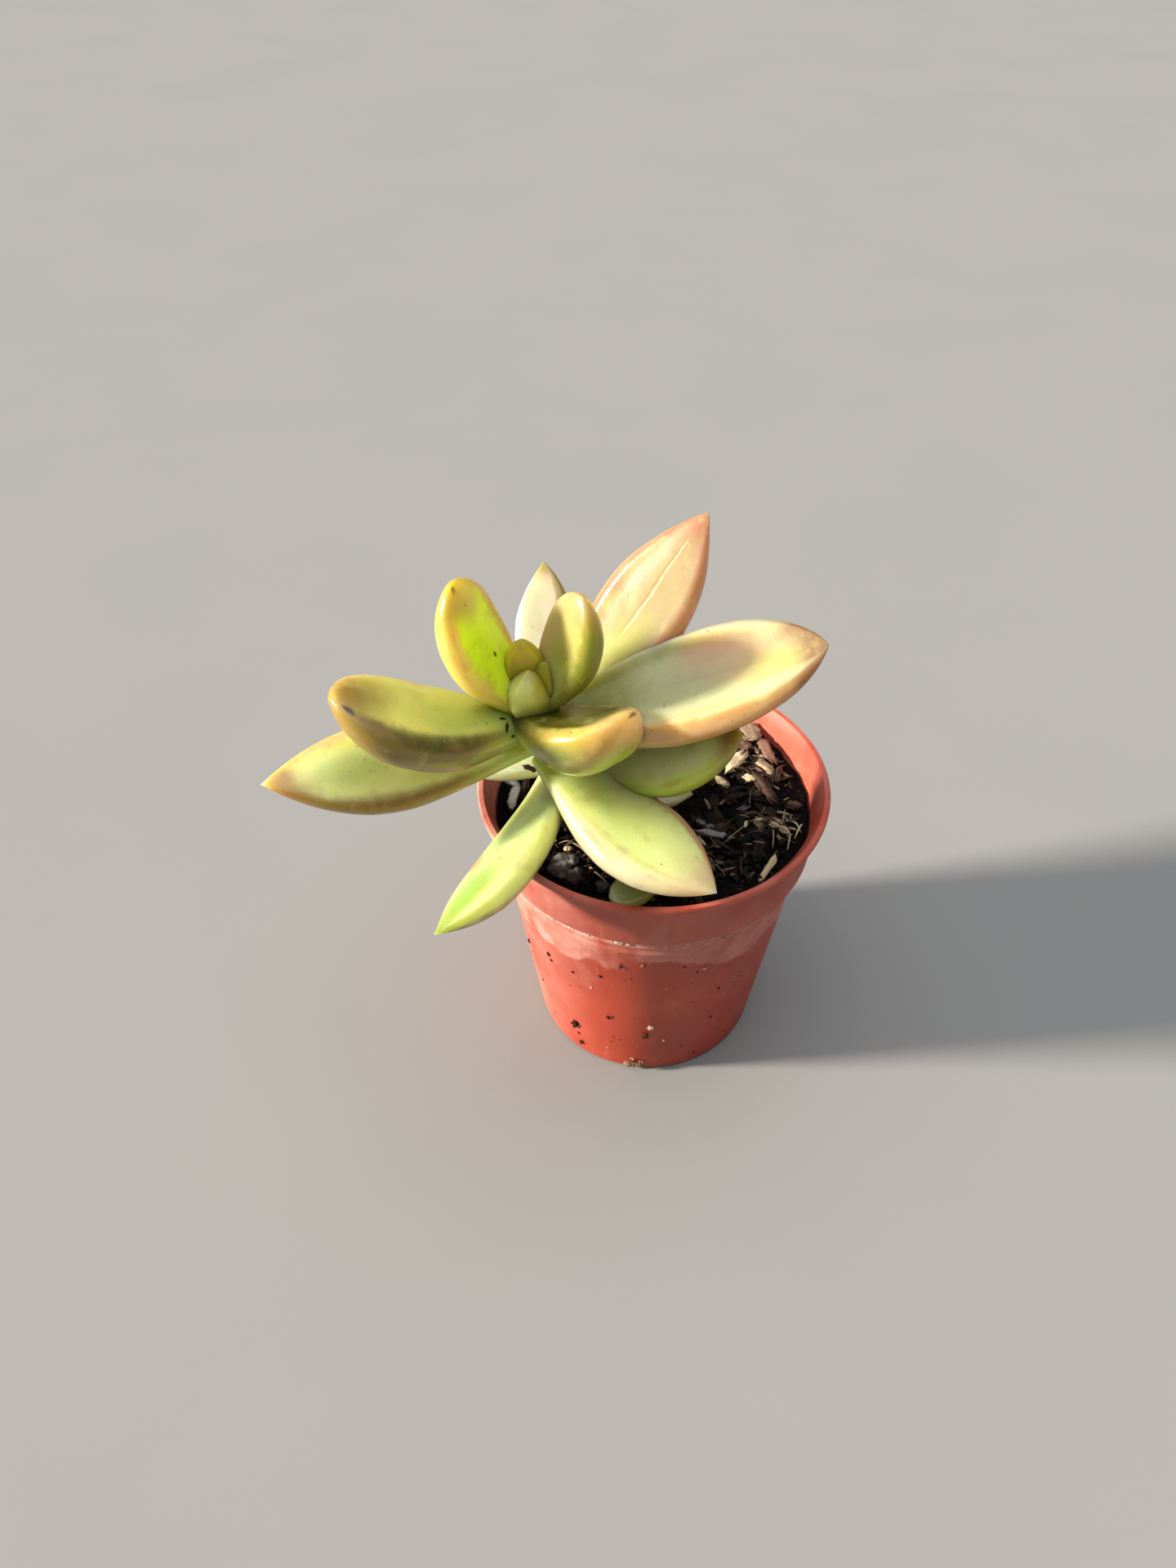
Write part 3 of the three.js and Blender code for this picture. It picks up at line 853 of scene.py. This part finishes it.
def pot_surface():
    """Terracotta-red moulded plastic with lime, scratches and dirt, and painted light on the left."""
    s = Surface("pot_plastic")
    x, y, height = [s.share(part, MM) for part in s.parts("Object")]
    wall = s.times(height, (BODY_TOP_RADIUS - BASE_RADIUS) / BODY_TOP)
    outside = s.step(s.less(s.distance(x, y), s.add(BASE_RADIUS - WALL / 2, wall)), 0, 0.1)
    haze = s.noise(7, 6, 0.62, 11)

    # Lime left by water: the band, drips below it, and dust on the collar; the pale layer on the left is
    # painted light
    wander = s.times(s.less(s.noise(11, 5, 0.6, 4), 0.5), LIME_WANDER)
    drop = s.times(s.step(s.without_sign(x), *LIME_SIDES), LIME_DROP)
    band = s.times(s.step(s.add(height, wander, drop), *LIME_FOOT), s.step(height, *LIME_TOP))
    band = s.times(band, s.step(haze, 0.25, 0.62), 0.7)
    drips = s.times(s.step(s.noise(5, 5, 0.6, 21, 0.35), 0.55, 0.75), 0.2)
    # painted light: the sunlit left side made paler
    painted_light = s.times(s.step(x, *PAINTED_LIGHT_SPAN), s.step(haze, 0.1, 0.75), 0.55)
    collar = s.step(height, COLLAR_FOOT - 0.3, COLLAR_FOOT + 0.2)
    dust = s.times(collar, s.step(haze, 0.2, 0.8), 0.35)
    pale = s.add(s.times(s.add(band, drips, painted_light, clamp=True), outside), dust, clamp=True)
    line = s.share(s.less(height, CRUST_HEIGHT), CRUST_WIDTH)
    line = s.less(1, s.without_sign(line), clamp=True)
    crust = s.times(line, s.step(s.noise(1.3, 5, 0.7, 31), 0.42, 0.6))

    scratches = s.step(s.noise(0.6, 3, 0.5, 8, 0.04), 0.62, 0.75)
    dirt = s.times(s.step(s.cells(2.6, 5), 0.11, 0.06), s.step(s.noise(8, 3, 0.5, 14), 0.45, 0.6))
    shade = s.mix(s.step(s.noise(16, 4, 0.55, 2), 0.3, 0.7), *POT_REDS)
    shade = s.mix(pale, shade, POT_LIME_AND_PAINTED_LIGHT)
    shade = s.mix(s.times(crust, outside, 0.65), shade, POT_CRUST)
    shade = s.mix(s.times(scratches, 0.14), shade, POT_SCRATCH)
    shade = s.mix(s.times(dirt, 0.85), shade, POT_DIRT)
    s.feed_all(s.shader, {
        "Base Color": shade,
        "Roughness": s.add(0.45, s.times(s.add(pale, crust, clamp=True), 0.4)),
        "Specular IOR Level": 0.3,
        "Subsurface Weight": 0.1,
        "Subsurface Radius": (1.0, 0.3, 0.15),
        "Subsurface Scale": 1.5 * MM,
    })
    grain = s.times(s.noise(0.7, 4, 0.6, 7), 0.3)
    waves = s.times(s.noise(5, 2, 0.5, 17), 0.8)
    s.bump(s.add(grain, s.times(crust, 0.8), waves), 0.3, 0.2)
    return s.data


def soil_surface():
    """Dark peat with slightly paler crumbs."""
    s = Surface("peat")
    grain = s.noise(1.1, 6, 0.7, 4)
    spacing = s.cells(0.7, 2)
    shade = s.mix(s.step(grain, 0.35, 0.7), *PEAT_BROWNS)
    s.feed_all(s.shader, {
        "Base Color": s.mix(s.times(s.step(spacing, 0.45, 0.15), 0.25), shade, PEAT_CRUMB),
        "Roughness": 0.95,
        "Specular IOR Level": 0.15,
    })
    s.bump(s.less(grain, spacing), 1.0, 0.9)
    return s.data


def bit_surface(name):
    """Bark, wood and fibre: each bit has its own tone among three, with grain and pits."""
    dark, middle, light, roughness = BIT_TONES[name]
    s = Surface(name)
    grain = s.times(s.less(s.noise(0.9, 5, 0.65, 6), 0.5), 0.5)
    tone = s.add(s.value("tone"), grain, clamp=True)
    shade = s.mix(s.step(tone, 0, 0.55), dark, middle)
    shade = s.mix(s.step(tone, 0.5, 1), shade, light)
    pits = s.step(s.noise(0.35, 3, 0.6, 12), 0.6, 0.75)
    s.feed_all(s.shader, {
        "Base Color": s.mix(s.times(pits, 0.7), shade, PIT_BROWN),
        "Roughness": roughness,
        "Specular IOR Level": 0.2,
    })
    s.bump(s.noise(0.3, 4, 0.6, 6), 0.7, 0.2)
    return s.data


def floor_surface():
    """Matt, pale and plain."""
    s = Surface("floor")
    s.feed_all(s.shader, {
        "Base Color": s.mix(s.noise(60, 3, 0.5, 1), *FLOOR_GREYS),
        "Roughness": 1,
        "Specular IOR Level": 0,
    })
    return s.data


# Pieces

def cut_hole(piece, place, radius, depth):
    """Cuts a round hole up into the piece from below."""
    profile = [(0, -1), (radius, -1), (radius, depth), (0, depth)]
    vertices, faces = lathe(profile, 40)
    vertices = [Vector(vertex) + place for vertex in vertices]
    cutter = new_object("cutter", new_mesh("cutter", vertices, faces))
    modifier = piece.modifiers.new("cut", "BOOLEAN")
    modifier.operation = "DIFFERENCE"
    modifier.solver = "EXACT"
    modifier.object = cutter
    shapes = bpy.context.evaluated_depsgraph_get()
    shaped = bpy.data.meshes.new_from_object(piece.evaluated_get(shapes))
    piece.modifiers.clear()
    piece.data = shaped
    bpy.data.objects.remove(cutter)
    clean = bmesh.new()
    clean.from_mesh(shaped)
    bmesh.ops.remove_doubles(clean, verts=clean.verts, dist=0.002 * MM)
    clean.to_mesh(shaped)
    clean.free()


def wall_radius(z):
    """The radius of the outside of the pot's body at a height."""
    share = (z - BASE_CORNER) / (BODY_TOP - BASE_CORNER)
    return BASE_RADIUS + (BODY_TOP_RADIUS - BASE_RADIUS) * share


def ridge(z, proud):
    """Profile points of a low moulded ring about the body."""
    steps = [(-0.4, 0), (-0.1, 1), (0.1, 1), (0.4, 0)]
    return [(wall_radius(z + dz) + proud * share, z + dz) for dz, share in steps]


def make_pot():
    profile = [
        (0, 0),
        (BASE_RADIUS - BASE_CORNER, 0),
        (BASE_RADIUS - 0.45, 0.2),
        (BASE_RADIUS - 0.12, 0.6),
        (BASE_RADIUS, BASE_CORNER),
        *ridge(37.2, 0.1),
        *ridge(39, 0.14),
        (BODY_TOP_RADIUS, BODY_TOP - 0.15),
        (BODY_TOP_RADIUS + 0.1, BODY_TOP + 0.1),
        (COLLAR_FOOT_RADIUS - 0.25, COLLAR_FOOT - 0.25),
        (COLLAR_FOOT_RADIUS, COLLAR_FOOT + 0.1),
        (COLLAR_TOP_RADIUS, LIP_FOOT - 0.8),
        (COLLAR_TOP_RADIUS + 0.4, LIP_FOOT - 0.35),
        (RIM_RADIUS - 0.2, LIP_FOOT),
        (RIM_RADIUS, LIP_FOOT + 0.35),
        (RIM_RADIUS, POT_HEIGHT - 0.25),
        (RIM_RADIUS - 0.2, POT_HEIGHT),
        (RIM_RADIUS - LIP_WIDTH + 0.2, POT_HEIGHT),
        (RIM_RADIUS - LIP_WIDTH, POT_HEIGHT - 0.25),
        (COLLAR_TOP_RADIUS - WALL, LIP_FOOT - 0.8),
        (COLLAR_FOOT_RADIUS - WALL, COLLAR_FOOT),
        (BODY_TOP_RADIUS - WALL, BODY_TOP - 0.3),
        (BASE_RADIUS - WALL, FLOOR),
        (0, FLOOR),
    ]
    vertices, faces = lathe(profile, POT_SEGMENTS)
    pot = new_piece("pot_fine", vertices, faces, pot_surface())
    for index in range(DRAIN_HOLES):
        place = direction(360 * index / DRAIN_HOLES) * DRAIN_CIRCLE_RADIUS
        cut_hole(pot, place, DRAIN_RADIUS, FLOOR + 0.5)
    pot.data.set_sharp_from_angle(angle=radians(50))
    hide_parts("pot")


def make_soil():
    """A lumpy bed of peat that fills the pot."""
    profile = [
        (0, FLOOR + GAP),
        (BASE_RADIUS - WALL - GAP, FLOOR + GAP),
        (BODY_TOP_RADIUS - WALL - GAP, BODY_TOP - 0.1),
        (COLLAR_FOOT_RADIUS - WALL - GAP, COLLAR_FOOT + 0.3),
        *[(SOIL_EDGE_RADIUS * (1 - i / SOIL_RINGS), SOIL_TOP) for i in range(SOIL_RINGS)],
        (0, SOIL_TOP),
    ]
    vertices, faces = lathe(profile, SOIL_SEGMENTS)
    raised = []
    for x, y, z in vertices:
        if z == SOIL_TOP:
            rough = noise.fractal(Vector((x, y, 0)) * 0.45, 0.9, 2.1, 5)
            lumps = noise.fractal(Vector((x, y, 5)) * 1.3, 0.8, 2.1, 4)
            z = soil_height(x, y) - 0.3 + 0.5 * rough + 0.3 * lumps
        raised.append((x, y, z))
    soil = new_piece("soil_bed", raised, faces, soil_surface())
    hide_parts("soil")


def splinter(rng, length, width, thick):
    """Vertices, faces and streaks of one torn, flat bit with ridges and ragged ends."""
    rows, sides = (14, 14) if length > 1.3 else (7, 6)
    bend = rng.uniform(-0.2, 0.2)
    shift = rng.uniform(0, 50)
    ends = (rng.uniform(0.05, 0.7), rng.uniform(0.05, 0.7))
    ridges = [rng.uniform(0.6, 1.2) for side in range(sides)]
    ragged = [[rng.uniform(-0.2, 0.2) for side in range(sides)] for end in range(2)]
    vertices = []
    for row in range(rows):
        t = row / (rows - 1)
        taper = min(1, ends[0] + 4 * t, ends[1] + 4 * (1 - t))
        for i, (u, v) in enumerate(circle(sides, 0.5)):
            rough = noise.noise(Vector((shift + 3.5 * t, 1.5 * u, 1.5 * v)))
            square = 1 / max(abs(u), abs(v))
            reach = taper * ridges[i] * square * (1 + 0.5 * rough)
            tear = ragged[0][i] * (1 - t) ** 3 + ragged[1][i] * t ** 3
            vertices.append(Vector((
                length * (t - 0.5 + tear),
                width / 2 * reach * u + bend * length * (t - 0.5) ** 2,
                thick / 2 * reach * v + 0.15 * bend * length * (0.5 - t),
            )))
    streaks = [0.7 * (ridge - 0.9) for ridge in ridges] * rows
    return vertices, flat_ended(rows, sides), streaks


class Litter:
    """Gathers many bits into one piece, each with a tone of its own."""

    def __init__(self, seed):
        self.rng = random.Random(seed)
        self.vertices, self.faces, self.tones = [], [], []

    def add(self, vertices, faces, tones):
        first = len(self.vertices)
        self.vertices += vertices
        self.faces += [tuple(first + i for i in face) for face in faces]
        self.tones += tones

    def add_bit(self, place, turn, size, tone):
        vertices, faces, streaks = splinter(self.rng, *size)
        vertices = [place + turn @ vertex for vertex in vertices]
        self.add(vertices, faces, [tone + streak for streak in streaks])

    def add_fibre(self, points, radius, tone):
        vertices, faces = fibre(points, radius)
        self.add(vertices, faces, [tone] * len(vertices))

    def finish(self, name, material, smooth=False):
        piece = new_piece(name, self.vertices, self.faces, material, smooth)
        add_floats(piece, "tone", self.tones)


def flat_turn(heading, tip=0, lean=0):
    """A turn about the upright axis, after a tip and a lean."""
    turn = Matrix.Rotation(radians(heading), 3, "Z")
    turn = turn @ Matrix.Rotation(radians(tip), 3, "Y")
    return turn @ Matrix.Rotation(radians(lean), 3, "X")


def anywhere(rng, radius):
    """A point on a disc, as likely in one place as in another."""
    reach = radius * sqrt(rng.random())
    angle = rng.uniform(0, 2 * pi)
    return reach * cos(angle), reach * sin(angle)


def scatter(name, count, seed, sizes, tones, material, lift=0.2, tilt=22):
    """Many splinters lying on the soil, as one piece."""
    litter = Litter(seed)
    rng = litter.rng
    while count > 0:
        length = rng.uniform(*sizes[0])
        width = min(length, rng.uniform(*sizes[1]))
        thick = min(width, rng.uniform(*sizes[2]))
        x, y = anywhere(rng, SOIL_EDGE_RADIUS - 0.9 - 0.6 * length)
        if hypot(x - CLEARING[0], y - CLEARING[1]) < CLEARING[2]:
            continue
        turn = flat_turn(rng.uniform(0, 360), rng.uniform(-tilt, tilt), rng.uniform(-tilt, tilt))
        place = on_soil(x, y, rng.uniform(0, lift))
        litter.add_bit(place, turn, (length, width, thick), rng.uniform(*tones))
        count -= 1
    litter.finish(name, material)


def fibre(points, radius):
    """Vertices and faces of a thin thread along points."""
    sides = 6
    vertices = []
    for i, point in enumerate(points):
        ahead = points[min(i + 1, len(points) - 1)] - points[max(i - 1, 0)]
        along = ahead.normalized()
        right = along.cross(Vector((0.3, 0.2, 1))).normalized()
        front = along.cross(right)
        size = radius * (0.35 + 0.65 * sin(pi * (0.06 + 0.88 * i / (len(points) - 1))))
        vertices += [point + (right * u + front * v) * size for u, v in circle(sides)]
    return vertices, flat_ended(len(points), sides)


def ground_thread(rng, x, y, heading, length, turning, arch):
    """Points of a thread that lies on the soil and arches over it."""
    steps = 12
    points = []
    for step in range(steps + 1):
        points.append(on_soil(x, y, 0.25 + arch * sin(pi * step / steps)))
        heading += turning + rng.uniform(-0.1, 0.1)
        x += cos(heading) * length / steps
        y += sin(heading) * length / steps
        if hypot(x, y) > SOIL_EDGE_RADIUS - 0.8:
            break
    return points


def make_fibres(material):
    """Fine threads scattered over the soil, and those that the photograph shows."""
    litter = Litter(9)
    rng = litter.rng
    for index in range(80):
        x, y = anywhere(rng, SOIL_EDGE_RADIUS - 4.5)
        heading, length = rng.uniform(0, 2 * pi), rng.uniform(2, 6)
        turning, arch = rng.uniform(-0.08, 0.08), rng.uniform(0.1, 0.9)
        points = ground_thread(rng, x, y, heading, length, turning, arch)
        if len(points) > 4:
            litter.add_fibre(points, rng.uniform(0.04, 0.1), rng.uniform(0, 0.8))
    for x, y, heading, length, radius, tone in NOTABLE_THREADS:
        points = ground_thread(rng, x, y, radians(heading), length, 0.02, 0.8)
        litter.add_fibre(points, radius, tone)
    litter.finish("soil_fibres", material, smooth=True)


def make_notable_bits(name, bits, material):
    """The larger bits that the photograph shows on the soil."""
    litter = Litter(12)
    for x, y, heading, length, width, thick, lift, tone in bits:
        turn = flat_turn(heading, litter.rng.uniform(-14, 14), litter.rng.uniform(-12, 12))
        litter.add_bit(on_soil(x, y, lift), turn, (length, width, thick), tone)
    litter.finish(name, material, smooth=True)


def make_slivers(material):
    """Heaps of thin torn slivers between the larger bits."""
    litter = Litter(31)
    rng = litter.rng
    for x0, y0, reach, count in SLIVER_HEAPS:
        for index in range(count):
            x, y = rng.gauss(x0, reach), rng.gauss(y0, reach)
            length = rng.uniform(0.8, 3)
            size = (length, rng.uniform(0.2, 0.5), rng.uniform(0.15, 0.3))
            place = on_soil(x, y, rng.uniform(0.2, 0.8))
            turn = flat_turn(rng.uniform(0, 360), rng.uniform(-22, 22), rng.uniform(-30, 30))
            if hypot(x, y) < SOIL_EDGE_RADIUS - 0.6 - 0.6 * length:
                litter.add_bit(place, turn, size, rng.random() ** 1.6)
    litter.finish("slivers", material)


def make_bits():
    """Everything loose on the soil."""
    bark = bit_surface("bark")
    wood = bit_surface("pale_wood")
    straw = bit_surface("straw")
    stone = bit_surface("grey_bark")
    paper = bit_surface("dry_skin")
    scatter("bark_chips", 230, 3, ((1.5, 5), (0.6, 1.8), (0.35, 0.9)), (0, 0.6), bark)
    scatter("peat_crumbs", 700, 4, ((0.4, 1.3), (0.4, 0.9), (0.3, 0.8)), (0, 0.5), bark, lift=0.35, tilt=80)
    scatter("wood_chips", 34, 5, ((0.9, 2.8), (0.3, 0.8), (0.2, 0.4)), (0, 0.7), wood, lift=0.5)
    make_slivers(wood)
    make_notable_bits("pale_bits", PALE_BITS, wood)
    make_notable_bits("brown_bits", BROWN_BITS, bark)
    make_notable_bits("grey_bits", GREY_BITS, stone)
    make_notable_bits("papery_scraps", PAPERY_SCRAPS, paper)
    make_fibres(straw)


def wall_place(azimuth, z, out):
    """A point on the outside of the pot's body, and the wall's outward direction."""
    away = direction(azimuth)
    return away * (wall_radius(z) + out) + Vector((0, 0, z)), away


def make_wall_crumbs():
    """Crumbs of soil and lime that stick to the outside of the pot."""
    for name, crumbs, strays, flakes, material in [
        ("wall_crumbs", WALL_CRUMBS, 70, 0, bit_surface("dry_soil")),
        ("lime_spots", LIME_SPOTS, 26, CRUST_FLAKES, bit_surface("lime")),
    ]:
        litter = Litter(21)
        rng = litter.rng
        spots = list(crumbs)
        for index in range(strays):
            z = 2 + 36 * rng.random() ** 1.3
            spots.append((rng.uniform(0, 360), z, rng.uniform(0.18, 0.42), rng.uniform(0, 0.6)))
        for index in range(flakes):
            azimuth = rng.triangular(*CRUST_SPAN)
            z = rng.gauss(FLAKE_HEIGHT, 0.25)
            spots.append((azimuth, z, rng.uniform(0.25, 0.8), rng.uniform(0.3, 1)))
        for azimuth, z, size, tone in spots:
            place, away = wall_place(azimuth, z, 0.12 * size)
            upright = away.to_track_quat("Z", "Y").to_matrix()
            turn = upright @ flat_turn(rng.uniform(0, 360))
            shape = (size, size * rng.uniform(0.6, 0.9), 0.5 * size)
            litter.add_bit(place, turn, shape, tone)
        litter.finish(name, material)


def make_stem():
    """The leaning stem, with a slightly lumpy skin."""
    rings, sides = 90, 28
    height = STEM_CROWN.z - STEM_FOOT.z
    vertices = []
    for row in range(rings):
        t = row / (rings - 1)
        center = stem_point(STEM_FOOT.z + t * height)
        ahead = stem_point(STEM_FOOT.z + (t + 0.01) * height)
        behind = stem_point(STEM_FOOT.z + (t - 0.01) * height)
        along = (ahead - behind).normalized()
        right = along.cross(Vector((0, 1, 0))).normalized()
        front = along.cross(right)
        for u, v in circle(sides):
            bump = noise.fractal(Vector((u, v, 9 * t)) * 1.2, 0.8, 2, 3)
            radius = STEM_RADIUS * (0.94 + 0.07 * bump)
            vertices.append(center + (right * u + front * v) * radius)
    stem = new_piece("stem_fine", vertices, flat_ended(rings, sides), stem_surface())
    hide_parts("stem")


def make_dry_flakes():
    """Dry scraps of old leaves about the crown."""
    litter = Litter(31)
    for place, heading, tip, length, width, tone in DRY_FLAKES:
        litter.add_bit(Vector(place), flat_turn(heading, tip, 20), (length, width, 0.35), tone)
    litter.finish("dry_flakes", bit_surface("dry_leaf"))


def make_leaves():
    """Every leaf, each with its own relief and colours."""
    for index, (name, leaf) in enumerate(LEAVES.items()):
        dish, rim = RELIEF.get(name, (DISH, RIM))
        leaf_piece(name, dict(leaf, dish=dish, rim=rim), leaf_surface(name, 7.3 * index))


# Studio

def make_floor():
    size = 3000
    corners = [(-size, -size, 0), (size, -size, 0), (size, size, 0), (-size, size, 0)]
    mesh = new_mesh("floor", corners, [(0, 1, 2, 3)])
    mesh.materials.append(floor_surface())
    floor = new_object("floor", mesh)


def make_light():
    """A low warm sun, and a sky that the camera sees as a plain backdrop."""
    s = Nodes(bpy.data.worlds.new("studio"), "Background")
    bpy.context.scene.world = s.data
    height = s.math("POWER", (s.parts("Generated")[2], SKY_FALL), clamp=True)
    strength = s.add(SKY_LEVEL, s.times(height, SKY_OVERHEAD - SKY_LEVEL))
    s.feed_all(s.shader, {"Color": (*SKY_COLOR, 1), "Strength": strength})
    backdrop = s.node("ShaderNodeBackground", {"Color": (*BACKDROP, 1)})
    seen = s.nodes.new("ShaderNodeLightPath").outputs["Is Camera Ray"]
    mix = s.node("ShaderNodeMixShader", {0: seen, 1: s.shader.outputs[0], 2: backdrop.outputs[0]})
    s.feed(s.nodes["World Output"].inputs["Surface"], mix.outputs[0])
    sun = bpy.data.lights.new("sun", "SUN")
    sun.energy = SUN_STRENGTH
    sun.color = SUN_COLOR
    sun.angle = radians(SUN_SPREAD)
    lamp = new_object("sun", sun)
    lamp.rotation_mode = "QUATERNION"
    lamp.rotation_quaternion = direction(-90 - SUN_SIDE, SUN_HEIGHT).to_track_quat("Z", "Y")


def make_camera():
    data = bpy.data.cameras.new("camera")
    data.lens = CAMERA_LENS
    data.sensor_width = CAMERA_SENSOR
    data.clip_start = MM
    camera = new_object("camera", data)
    forward = direction(90, -CAMERA_PITCH)
    right = turned(Vector((1, 0, 0)), forward, -CAMERA_ROLL)
    up = right.cross(forward)
    turn = Matrix((right, up, -forward)).transposed().to_4x4()
    camera.matrix_world = Matrix.Translation(CAMERA_PLACE * MM) @ turn
    bpy.context.scene.camera = camera


bpy.context.scene.view_settings.view_transform = "Standard"
make_camera()
make_light()
make_floor()
make_pot()
make_soil()
make_bits()
make_wall_crumbs()
make_stem()
make_leaves()
make_dry_flakes()
